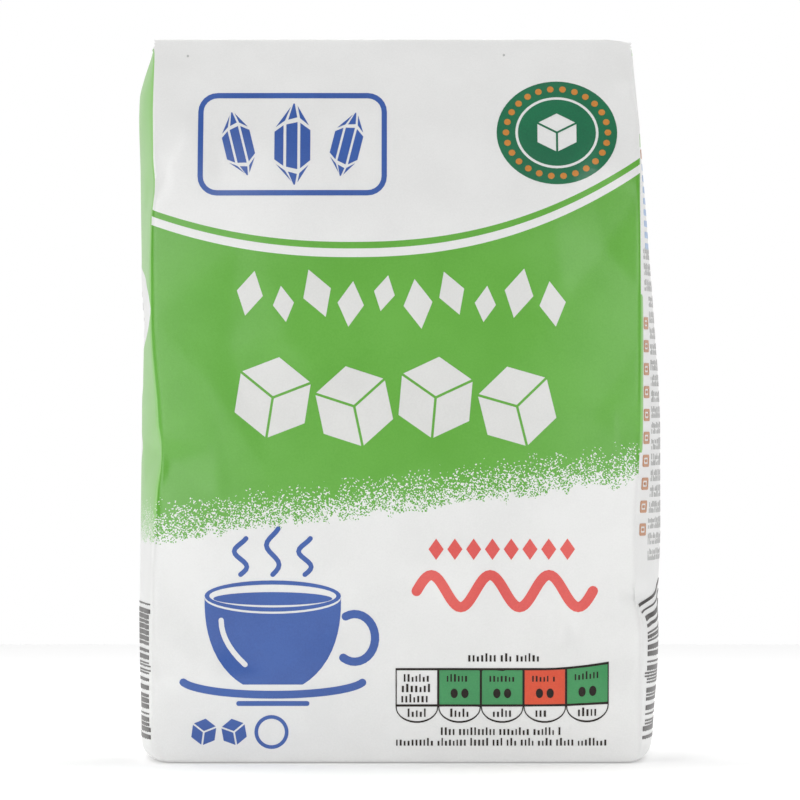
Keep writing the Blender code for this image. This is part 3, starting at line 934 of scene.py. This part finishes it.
def makeCup():
    c = cup
    half = c["wide"] / 2
    outlines = [oval(c["x"], c["rim"] - low, c["wide"] - less, high) for less, high, low in c["rims"]]
    angles = [math.radians(180 + 9 * step) for step in range(21)]
    lip = [(half * math.cos(a), -0.45 + 3.2 * math.sin(a)) for a in angles]
    down = c["rim"] - c["foot"]
    wall = [(half * math.sqrt(1 - (0.9 * t ** 1.15) ** 2), -0.8 - (down - 0.8) * t)
            for t in (0.1, 0.2, 0.3, 0.4, 0.5, 0.6, 0.7, 0.8, 0.88, 0.94, 0.98, 1)]
    outlines.append(turnedBy(lip + wall + [(-x, z) for x, z in wall][::-1], c["x"], c["rim"], 0))
    shine = [(c["x"] - 10.6 + 0.1 * t ** 2, c["rim"] - 5.0 - 1.3 * t) for t in range(8)]
    x, z = c["x"] + half * 0.9 + c["handleOut"], c["rim"] - c["handleLow"]
    angles = [math.radians(a) for a in range(116, -125, -12)]
    handle = [(x - 1.2 + 4.2 * math.cos(a), z + 4.9 * math.sin(a)) for a in angles]
    reach, line = c["saucer"]
    angles = [math.radians(a) for a in range(-78, 79, 6)]
    saucer = [(c["x"] + reach * math.sin(a), c["foot"] + 1.1 - 3.2 * math.cos(a)) for a in angles]
    outlines += [stroke(shine, c["shineWide"]), stroke(handle, c["handleWide"]), stroke(saucer, line)]
    low, wide, high, radius = c["base"]
    outlines.append(roundBox(c["x"], c["foot"] - low, wide, high, radius))
    for step, high in c["steam"]:
        x, z = c["x"] + step * c["steamPitch"], c["rim"] + c["steamLow"]
        outlines.append(stroke([(x + c["steamSwing"] * math.sin(t * math.pi / 6), z + high * t / 14)
                                for t in range(15)], 1.0))
    return outlines


def makeWeight():
    w = weight
    x, z, wide = w["ring"]
    inner = wide - 2 * w["line"]
    outlines = [oval(x, z, wide, wide), oval(x, z, inner, inner)]
    for step, turn in enumerate(w["turns"]):
        outlines += cube(w["x"] + w["pitch"] * step, w["z"], w["size"], turn, 0.86)
    return outlines


def bowed(x, z):
    # the paper's bow lifts the table's right end
    share = 0.15 + 0.85 * min(1.0, max(0.0, (z - table["bottom"]) / (table["top"] - table["bottom"])))
    return x, z + table["bowRise"] * share * max(0.0, (x - table["bowFrom"]) / table["bowOver"]) ** 1.6


def makeTable(random):
    t = table
    line, middle = t["line"], t["middle"]
    whole = [(t["left"] + t["cell"] * step / 4, t["top"]) for step in range(20, -1, -1)]
    holes, fills, words = [], [], []
    for step in range(5):
        x = t["left"] + t["cell"] * (step + 0.5)
        angles = [math.radians(a) for a in range(0, 181, 12)]
        half = t["cell"] / 2
        deep = middle - 0.3 - t["bottom"]
        whole += [(x - half * math.cos(a), middle - 0.3 - deep * math.sin(a)) for a in angles]
        half -= line / 2
        low, high = middle + line / 2, t["top"] - line
        cell = [(x - half, low), (x, low), (x + half, low), (x + half, high), (x, high), (x - half, high)]
        holes.append(cell)
        fills.append([bowed(*corner) for corner in cell])
        deep -= line
        under = middle - line / 2
        bowl = [(x - half * math.cos(a), middle - 0.4 - deep * math.sin(a)) for a in angles]
        holes.append([(x - half, under)] + bowl + [(x + half, under)])
        for z, wide, high in t["rows" if step else "firstRows"] + (t["footRow"],):
            words += wordRow(x - wide / 2, x + wide / 2, z, high, random)
        apart, z, wide, high = t["beads"]
        for bead in (-apart, apart) if step else ():
            words.append(oval(x + bead, z, wide, high, steps=16))
    outlines = [[bowed(*corner) for corner in outline] for outline in [whole] + holes + words]
    return outlines, fills


def makeBarCode(middle, length, random):
    # bars and gaps of one to three units, drawn at random; the first, middle and last pairs are longer
    units = random.choice([1, 1, 2, 3], (barCode["bars"], 2))
    unit = barCode["high"] / units.sum()
    outlines = []
    z = barCode["low"]
    side = 1 if middle > 0 else -1
    for step, (bar, gap) in enumerate(units * unit):
        longer = barCode["longer"] if step in barCode["longBars"] else 0.0
        left, right = middle - length / 2, middle + length / 2
        left, right = (left, right + longer) if side > 0 else (left - longer, right)
        limit = faceDepth(z) - barCode["margin"]
        corners = []
        for across in np.linspace(max(left, -limit), min(right, limit), 9):
            rise = max(0.0, (z - barCode["tiltFrom"]) / barCode["tiltOver"])
            tilt = barCode["tilt"] * (across - left) * rise if side < 0 else 0.0
            corners.append((across, z + tilt))
        outlines.append(corners + [(x, up + bar) for x, up in corners[::-1]])
        z += bar + gap
    return outlines


def makePrints():
    random = np.random.default_rng(4)

    def both(outlines):
        return {"front": outlines, "back": outlines}

    blue = flexoInk("flexoBlue")
    inkFilm("bluePrint", both(makePlaque() + makeCup() + makeWeight()), blue)

    b = badge
    mark = [[(x, b["z"] + (z - b["z"]) * b["squash"]) for x, z in face]
            for face in cube(b["x"], b["z"], b["cube"], 0, 0.9)]
    disc = [oval(b["x"], b["z"], b["wide"], b["high"], steps=64),
            oval(b["x"], b["z"], b["ringWide"], b["ringHigh"], steps=56),
            oval(b["x"], b["z"], b["ringWide"] - b["line"], b["ringHigh"] - b["line"], steps=56)] + mark
    inkFilm("badgePrint", both(disc), flexoInk("flexoDarkGreen"))
    dots = []
    for step in range(b["dots"]):
        angle = 2 * math.pi * step / b["dots"]
        x = b["x"] + (b["wide"] + b["ringWide"]) / 4 * math.cos(angle)
        z = b["z"] + (b["high"] + b["ringHigh"]) / 4 * math.sin(angle)
        dots.append(oval(x, z, b["dotWide"], b["dotHigh"], steps=12))
    inkFilm("badgeDots", both(dots), flexoInk("flexoOrange"), lift=0.1)

    white = []
    for step, turn in enumerate(cubes["turns"]):
        x, z = cubes["left"] + cubes["pitch"] * step, cubes["z"] + cubes["shift"] * (-1) ** step
        white += cube(x, z, cubes["size"], turn)
    for step in range(grains["count"]):
        x, z = grains["left"] + grains["pitch"] * step, grains["z"] + grains["shift"] * (-1) ** step
        high = grains["high"] * grains["sizes"][step % 3]
        white.append(diamond(x, z, high * grains["wideShare"], high, turn=grains["turns"][step % 4]))
    inkFilm("whitePrint", both(white), flexoInk("bareCoatedPaper"))

    wave = []
    for step in range(73):
        share = step / 72
        wave.append((flourish["left"] + (flourish["right"] - flourish["left"]) * share,
                     flourish["z"] + flourish["rise"] * math.sin(share * flourish["waves"] * 2 * math.pi)))
    red = [stroke(wave, flourish["wide"])]
    for step in range(lozenges["count"]):
        red.append(diamond(lozenges["left"] + lozenges["pitch"] * step, lozenges["z"],
                           lozenges["wide"], lozenges["high"]))
    inkFilm("redPrint", both(red), flexoInk("flexoRed"))

    dark, fills = makeTable(random)
    inkFilm("tableGreenPrint", both([fills[1], fills[2], fills[4]]), flexoInk("flexoMidGreen"),
            lift=0.05)
    inkFilm("tableRedPrint", both([fills[3]]), flexoInk("flexoVermilion"), lift=0.05)
    for left, right, z, high in table["around"]:
        dark += wordRow(left, right, z, high, random)
    inkFilm("darkPrint", {**both(dark), "left": makeBarCode(*barCode["left"], random),
                          "right": makeBarCode(*barCode["right"], random)},
            flexoInk("flexoDark"), lift=0.1)

    r = sideRows
    rows = []
    for step in range(r["count"]):
        z = r["top"] - r["pitch"] * step
        start = r["left"][0] if z > r["leftChange"] else r["left"][1]
        for line in (-r["apart"], r["apart"]):
            rows += letterStrokes(start, r["right"], z + line, r["high"], random)
    label = []
    for z, half in labelRows["rows"]:
        left, right = -half - labelRows["shift"], half - labelRows["shift"]
        label += letterStrokes(left, right, z, labelRows["high"], random)
    # painted shade: grey dots stand in for the dark inside the two pin pricks
    prickShadeDots = [oval(x, z, pricks["wide"], pricks["wide"], steps=10) for x, z in pricks["places"]]
    inkFilm("greyPrintAndPrickShade", {"right": rows, "left": label, "front": prickShadeDots}, flexoInk("greyInkAndPrickShade"))

    p = paleBars
    bars = [roundBox(p["x"] - p["shift"] * step, p["z"] - p["pitch"] * step, *p["size"])
            for step in range(p["count"])]
    inkFilm("paleBluePrint", {"right": bars}, flexoInk("flexoPaleBlue"))
    rings = [roundBox(signs["x"], signs["z"] - signs["pitch"] * step, *size)
             for step in range(signs["count"]) for size in signs["rings"]]
    rings.append(roundBox(*signs["tab"]))
    inkFilm("amberPrint", {"right": rings}, flexoInk("flexoAmber"), lift=0.1)


def makeStudio():
    deselect()
    bpy.ops.mesh.primitive_plane_add(size=studio["floorHalf"] * 2)
    floor = bpy.context.object
    floor.name = "studioFloor"
    material, _, shader = newMaterial("litAcrylicTable", 0.9, 0.0)     # a matt shooting table, lit from below
    shader.inputs["Base Color"].default_value = linear("#fcfcfc")
    shader.inputs["Emission Color"].default_value = (1, 1, 1, 1)
    shader.inputs["Emission Strength"].default_value = studio["floorGlow"]
    floor.data.materials.append(material)

    world = bpy.data.worlds.new("softStudio")
    world.use_nodes = True
    tree = world.node_tree
    soft = tree.nodes["Background"]
    soft.inputs["Color"].default_value = (1, 1, 1, 1)
    # a bright wall behind the packet and a dim room in front of it
    way = addNode(tree, "ShaderNodeTexCoord").outputs["Generated"]
    behind = addNode(tree, "ShaderNodeSeparateXYZ", {"Vector": way}).outputs["Y"]
    tree.links.new(remap(tree, behind, -0.25, 0.25, *studio["roomAndWall"]), soft.inputs["Strength"])
    white = addNode(tree, "ShaderNodeBackground", {"Color": (1, 1, 1, 1), "Strength": 1.0})
    seen = addNode(tree, "ShaderNodeLightPath").outputs["Is Camera Ray"]
    both = addNode(tree, "ShaderNodeMixShader", {0: seen, 1: soft.outputs[0], 2: white.outputs[0]})
    tree.links.new(both.outputs[0], tree.nodes["World Output"].inputs["Surface"])
    bpy.context.scene.world = world

    for name, (place, size, power) in studio["softBoxes"].items():
        lamp = bpy.data.lights.new(name, "AREA")
        lamp.shape = "RECTANGLE"
        lamp.size, lamp.size_y = size
        lamp.energy = power
        holder = addThing(name, lamp)
        holder.location = place
        aim = Vector((0, 0, studio["lampAim"])) - Vector(place)
        holder.rotation_euler = aim.to_track_quat("-Z", "Y").to_euler()

    lens = bpy.data.cameras.new("studioCamera")
    lens.sensor_width = studio["sensor"]
    lens.lens = studio["sensor"] * studio["distance"] / studio["frameWidth"]
    lens.clip_start, lens.clip_end = 0.05, 20
    camera = addThing("studioCamera", lens)
    camera.location = (studio["across"], packetLow.y - studio["distance"], studio["aimHeight"])
    camera.rotation_euler = (math.radians(90), 0, 0)
    bpy.context.scene.camera = camera
    bpy.context.scene.view_settings.view_transform = "Standard"


paper, rest, index = makeBody()
softenFolds(paper, rest, index)
creasePaper(paper, rest, index)
writeMaps(paper, rest, index)
pick(paper)
bpy.ops.object.shade_smooth_by_angle(angle=math.radians(50))
paper.data.materials.append(coatedKraft())
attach(paper, "root")
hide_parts("packet")
makePrints()
makeStudio()
print("studio:", len(studio["softBoxes"]), "soft boxes, floor and camera")
